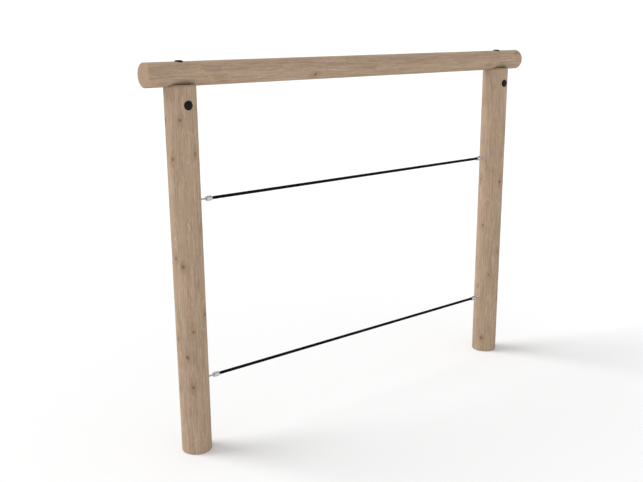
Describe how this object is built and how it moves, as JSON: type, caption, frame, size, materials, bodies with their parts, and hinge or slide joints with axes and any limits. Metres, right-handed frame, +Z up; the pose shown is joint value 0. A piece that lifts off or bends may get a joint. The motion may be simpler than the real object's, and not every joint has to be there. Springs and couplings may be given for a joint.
{
  "type": "playground rope climbing frame",
  "caption": "Free-standing playground frame: a round timber beam saddled on two round posts, with taut steel-cored ropes stretched between the posts one above the other.",
  "frame": {"origin": "on the ground, midway between the two posts, under the beam's axis", "axes": "+X along the beam from the left post to the right post, -Y the front with the bolt caps, +Z up"},
  "size_m": [2.68, 0.1661, 2.0399],
  "materials": {
    "post_wood": "peeled round timber, weathered tan, matt",
    "beam_wood": "peeled round timber, weathered tan, matt",
    "cap_plastic": "moulded black plastic, satin",
    "rope_yarn": "black twisted polyester yarn over steel strands",
    "rope_wire": "galvanised wire core",
    "ferrule_aluminium": "crimped, satin",
    "stainless_steel": "stainless, brushed",
    "zinc_steel": "zinc plated"
  },
  "bodies": {
    "frame": {"top_beam": "beam_wood", "post_left": "post_wood", "post_right": "post_wood", "beam_bolt_left": "zinc_steel", "beam_bolt_right": "zinc_steel", "bolt_washer_left": "zinc_steel", "bolt_washer_right": "zinc_steel", "barrel_nut_left": "zinc_steel", "barrel_nut_right": "zinc_steel", "top_cap_base_left": "cap_plastic", "top_cap_base_right": "cap_plastic", "front_cap_base_left": "cap_plastic", "front_cap_base_right": "cap_plastic", "rope_upper": "rope_yarn", "rope_lower": "rope_yarn", "rope_core_upper": "rope_wire", "rope_core_lower": "rope_wire", "ferrule_upper_left": "ferrule_aluminium", "ferrule_upper_right": "ferrule_aluminium", "ferrule_lower_left": "ferrule_aluminium", "ferrule_lower_right": "ferrule_aluminium", "rope_stud_upper_left": "stainless_steel", "rope_stud_upper_right": "stainless_steel", "rope_stud_lower_left": "stainless_steel", "rope_stud_lower_right": "stainless_steel", "stud_insert_upper_left": "zinc_steel", "stud_insert_upper_right": "zinc_steel", "stud_insert_lower_left": "zinc_steel", "stud_insert_lower_right": "zinc_steel"},
    "top_lid_left": {"top_cap_lid_left": "cap_plastic"},
    "top_lid_right": {"top_cap_lid_right": "cap_plastic"},
    "front_lid_left": {"front_cap_lid_left": "cap_plastic"},
    "front_lid_right": {"front_cap_lid_right": "cap_plastic"}
  },
  "joints": [
    {"name": "top_lid_left_lift", "type": "slide", "parent": "frame", "child": "top_lid_left", "axis": [0, 0, 1], "range_m": [0, 0.008]},
    {"name": "top_lid_right_lift", "type": "slide", "parent": "frame", "child": "top_lid_right", "axis": [0, 0, 1], "range_m": [0, 0.008]},
    {"name": "front_lid_left_pull", "type": "slide", "parent": "frame", "child": "front_lid_left", "axis": [0, -1, 0], "range_m": [0, 0.008]},
    {"name": "front_lid_right_pull", "type": "slide", "parent": "frame", "child": "front_lid_right", "axis": [0, -1, 0], "range_m": [0, 0.008]}
  ]
}
